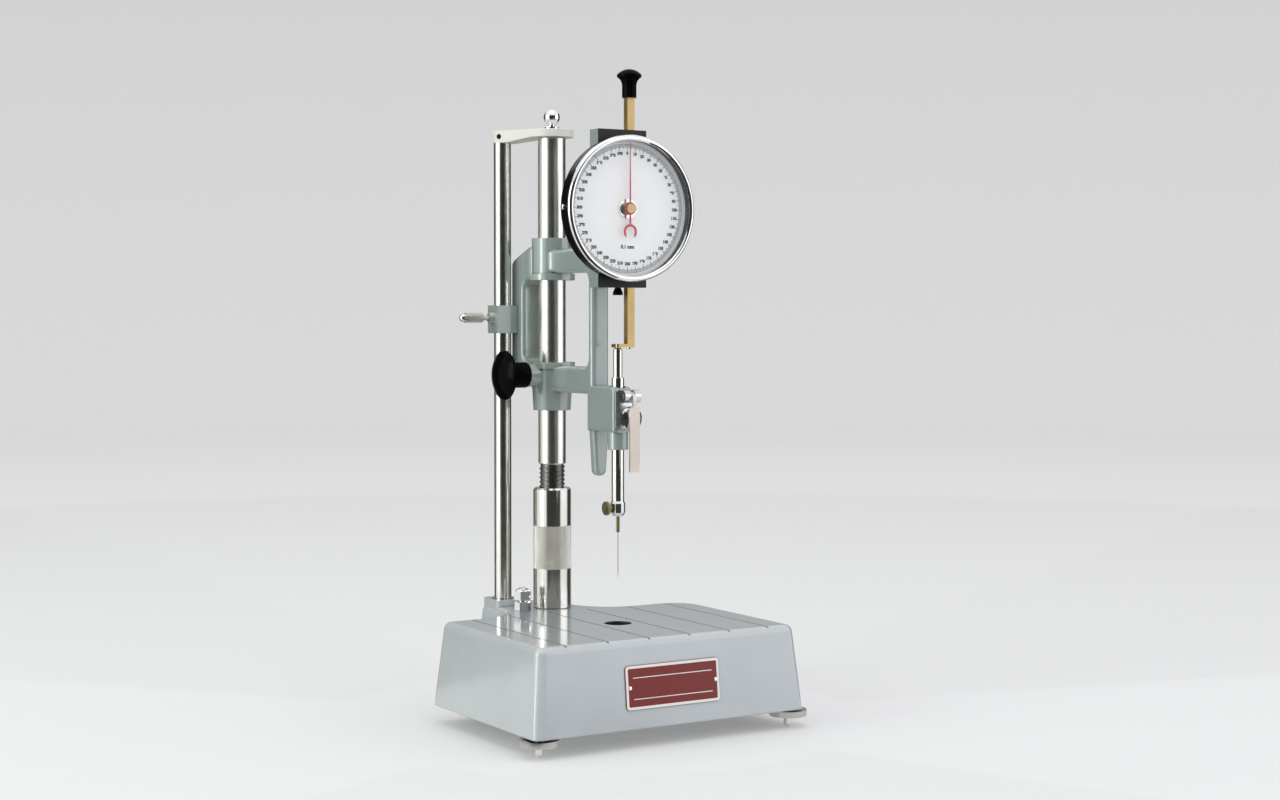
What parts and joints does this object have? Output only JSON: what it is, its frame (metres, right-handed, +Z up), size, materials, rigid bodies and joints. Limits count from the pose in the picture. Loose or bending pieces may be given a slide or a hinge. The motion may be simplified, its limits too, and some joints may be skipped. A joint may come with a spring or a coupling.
{
  "type": "laboratory penetrometer",
  "caption": "Bench penetrometer: a needle on a sliding plunger below a rack-driven dial, on a height-adjustable column and guide rod over a hollow levelling base.",
  "frame": {"origin": "bottom centre of the bounding box, on the floor under the feet", "axes": "+Z up, -Y towards the user and the dial, +X to the user's right"},
  "size_m": [0.28, 0.2775, 0.572],
  "materials": {
    "casting_paint": "semi-gloss grey-green enamel on cast iron",
    "head_paint": "semi-gloss grey-green enamel on cast aluminium",
    "plate_red": "red enamel, bare of lettering",
    "polished_steel": "polished stainless steel",
    "bright_chrome": "bright plated",
    "machined_brass": "plain machined",
    "black_knob": "glossy black moulding",
    "dark_cover": "dark grey enamel",
    "black_case": "black enamel",
    "dial_white": "matt white with printed scale",
    "dial_glass": "clear",
    "pointer_red": "red enamel",
    "satin_aluminium": "satin machined",
    "aged_brass": "dull and tarnished",
    "satin_steel": "satin ground",
    "lever_nickel": "satin nickel",
    "spring_steel": "plain"
  },
  "bodies": {
    "base": {"base_casting": "casting_paint", "nameplate": "plate_red", "nameplate_rivets": "bright_chrome", "column_bush": "machined_brass", "rod_bush": "machined_brass", "rear_foot": "polished_steel", "lock_stud": "polished_steel", "jam_nut": "bright_chrome", "dome_nut": "bright_chrome"},
    "left_foot": {"front_foot_stud_left": "polished_steel"},
    "left_wheel": {"front_foot_wheel_left": "bright_chrome"},
    "right_foot": {"front_foot_stud_right": "polished_steel"},
    "right_wheel": {"front_foot_wheel_right": "bright_chrome"},
    "adjusting_nut": {"adjusting_nut": "polished_steel"},
    "column": {"column": "polished_steel", "guide_rod": "polished_steel", "top_plate": "satin_aluminium", "top_plate_set_screw": "black_case", "ball_finial": "bright_chrome"},
    "head": {"head_casting": "head_paint", "clamp_shoe": "machined_brass", "rack_cover": "dark_cover", "cover_screws": "polished_steel", "rack_stop": "black_knob", "arbor_bushes": "machined_brass", "dial_case": "black_case", "case_screws": "polished_steel", "case_side_screw": "bright_chrome", "dial_face": "dial_white", "dial_glass": "dial_glass", "bezel": "bright_chrome", "plunger_bushes": "machined_brass", "clutch_housing": "satin_steel", "housing_screws": "polished_steel", "button_spring": "spring_steel", "lever_pin": "polished_steel"},
    "clamp_knob": {"clamp_knob": "black_knob", "clamp_stud": "polished_steel"},
    "rod_thumbscrew": {"rod_thumbscrew": "bright_chrome"},
    "rack": {"rack_bar": "machined_brass", "rack_knob": "black_knob", "rack_foot": "machined_brass", "rack_foot_screw": "polished_steel"},
    "pointer": {"pinion": "machined_brass", "pointer": "pointer_red", "hub_plate": "polished_steel", "pointer_hub": "machined_brass"},
    "plunger": {"plunger": "polished_steel", "chuck": "bright_chrome", "needle_ferrule": "aged_brass", "needle": "polished_steel"},
    "chuck_thumbscrew": {"chuck_thumbscrew": "aged_brass"},
    "clutch": {"clutch_bar": "polished_steel", "release_button": "polished_steel"},
    "lever": {"release_lever": "lever_nickel"}
  },
  "joints": [
    {"name": "left_foot_slide", "type": "slide", "parent": "base", "child": "left_foot", "axis": [0, 0, 1], "range_m": [-0.0065, 0.0005]},
    {"name": "left_wheel_turn", "type": "hinge", "parent": "left_foot", "child": "left_wheel", "pos_m": [-0.1235, -0.12225, 0.012], "axis": [0, 0, 1], "range_deg": [-1873, 145]},
    {"name": "right_foot_slide", "type": "slide", "parent": "base", "child": "right_foot", "axis": [0, 0, 1], "range_m": [-0.0065, 0.0005]},
    {"name": "right_wheel_turn", "type": "hinge", "parent": "right_foot", "child": "right_wheel", "pos_m": [0.1235, -0.12225, 0.012], "axis": [0, 0, 1], "range_deg": [-1873, 145]},
    {"name": "adjusting_nut_turn", "type": "hinge", "parent": "base", "child": "adjusting_nut", "pos_m": [0, 0.07795, 0.14465], "axis": [0, 0, 1], "range_deg": [-1351, 1801]},
    {"name": "column_slide", "type": "slide", "parent": "base", "child": "column", "axis": [0, 0, 1], "range_m": [-0.02, 0.015]},
    {"name": "head_slide", "type": "slide", "parent": "column", "child": "head", "axis": [0, 0, 1], "range_m": [-0.03, 0.085]},
    {"name": "clamp_knob_turn", "type": "hinge", "parent": "head", "child": "clamp_knob", "pos_m": [-0.045, 0.07795, 0.3035], "axis": [-1, 0, 0], "range_deg": [0, 540]},
    {"name": "rod_thumbscrew_turn", "type": "hinge", "parent": "head", "child": "rod_thumbscrew", "pos_m": [-0.06, 0.11445, 0.35565], "axis": [-1, 0, 0], "range_deg": [0, 540]},
    {"name": "rack_slide", "type": "slide", "parent": "head", "child": "rack", "axis": [0, 0, 1], "range_m": [0, 0.04]},
    {"name": "pointer_turn", "type": "hinge", "parent": "head", "child": "pointer", "pos_m": [0, -0.05005, 0.45], "axis": [0, -1, 0], "range_deg": [0, 360.05]},
    {"name": "plunger_slide", "type": "slide", "parent": "head", "child": "plunger", "axis": [0, 0, 1], "range_m": [-0.04, 0]},
    {"name": "chuck_thumbscrew_turn", "type": "hinge", "parent": "plunger", "child": "chuck_thumbscrew", "pos_m": [-0.008, -0.04005, 0.19], "axis": [-1, 0, 0], "range_deg": [0, 720]},
    {"name": "lever_swing", "type": "hinge", "parent": "head", "child": "lever", "pos_m": [0, -0.06105, 0.288], "axis": [1, 0, 0], "range_deg": [0, 5.5]},
    {"name": "clutch_slide", "type": "slide", "parent": "head", "child": "clutch", "axis": [0, 1, 0], "range_m": [0, 0.0018], "stiffness_N_per_m": 1500, "springref_m": -0.003, "deforming": ["button_spring"]}
  ],
  "couplings": [
    {"joint": "left_wheel_turn", "follows": "left_foot_slide", "rad_per_m": 5026.5},
    {"joint": "right_wheel_turn", "follows": "right_foot_slide", "rad_per_m": 5026.5},
    {"joint": "adjusting_nut_turn", "follows": "column_slide", "rad_per_m": -1570.8},
    {"joint": "pointer_turn", "follows": "rack_slide", "rad_per_m": 157.08},
    {"joint": "lever_swing", "follows": "clutch_slide", "rad_per_m": 52.632}
  ]
}
